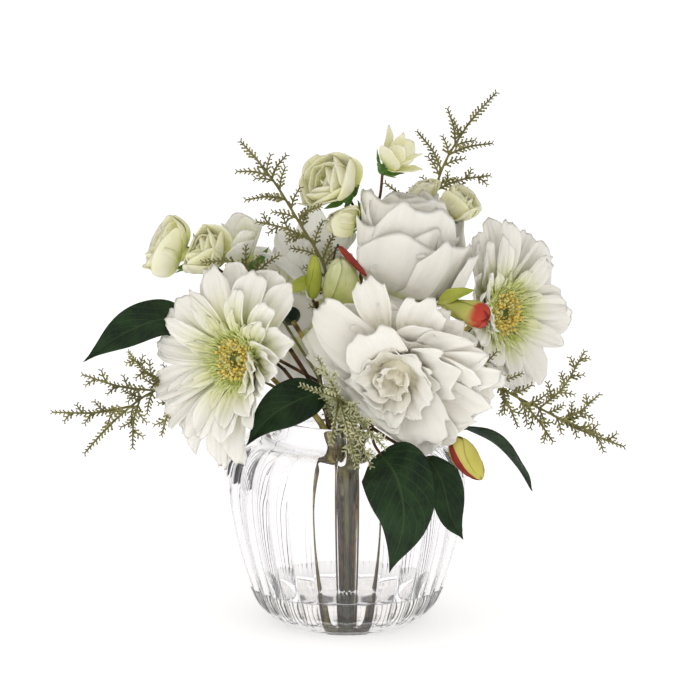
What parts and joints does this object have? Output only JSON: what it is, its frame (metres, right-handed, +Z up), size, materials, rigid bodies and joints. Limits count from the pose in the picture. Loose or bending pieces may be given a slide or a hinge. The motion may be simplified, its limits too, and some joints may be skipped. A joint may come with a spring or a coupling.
{
  "type": "floral table centerpiece",
  "caption": "Low arrangement of white and cream artificial flowers, leaves and fern sprays set in a ribbed clear glass vase.",
  "frame": {"origin": "centre of the vase's flat underside, in the plane that it stands on", "axes": "+Z up along the vase's axis, -Y toward the front that the picture shows, +X to its right"},
  "size_m": [0.321, 0.1772, 0.297],
  "materials": {
    "glass": "clear pressed glass with soft upright ribs",
    "resin": "clear set resin with a level glossy top",
    "petal_white": "matt off-white cloth petals, yellow-green toward their roots",
    "petal_cream": "matt cream cloth petals with a green tinge",
    "floret_green": "fine green fringe",
    "stamen_yellow": "yellow stamens",
    "bud_lime": "satin lime buds",
    "bud_red": "satin bud turning from lime to orange red",
    "leaf_green": "dark green satin leaves with light veins",
    "stem_green": "olive stems and sepals",
    "fern_olive": "olive fern sprays"
  },
  "bodies": {
    "root": {"vase": "glass", "water": "resin", "gerbera_left_petals": "petal_white", "gerbera_right_petals": "petal_white", "gerbera_back_petals": "petal_white", "peony_front_petals": "petal_white", "peony_top_petals": "petal_white", "lily_petals": "petal_white", "rose_large": "petal_cream", "rose_bud": "petal_cream", "rose_tip": "petal_cream", "rose_left": "petal_cream", "rose_far_left": "petal_cream", "rose_bell": "petal_cream", "rose_right": "petal_cream", "rose_high": "petal_cream", "gerbera_left_eye": "floret_green", "gerbera_right_eye": "floret_green", "gerbera_back_eye": "floret_green", "gerbera_left_stamens": "stamen_yellow", "gerbera_right_stamens": "stamen_yellow", "gerbera_back_stamens": "stamen_yellow", "bud_green": "bud_lime", "bud_slim": "bud_lime", "bud_low": "bud_lime", "bud_red": "bud_red", "bract_red": "bud_red", "bud_stem": "leaf_green", "peony_front_stem": "leaf_green", "low_bud_stem": "leaf_green", "lily_stem": "leaf_green", "leafy_stem_left": "leaf_green", "leafy_stem_right": "leaf_green", "gerbera_left_stem": "stem_green", "gerbera_right_stem": "stem_green", "gerbera_back_stem": "stem_green", "peony_top_stem": "stem_green", "rose_spray_top": "stem_green", "rose_spray_left": "stem_green", "rose_spray_right": "stem_green", "fern_top_left": "fern_olive", "fern_top_right": "fern_olive", "fern_left": "fern_olive", "fern_right": "fern_olive", "fern_centre": "fern_olive", "fern_over_gerbera": "fern_olive"}
  },
  "joints": []
}
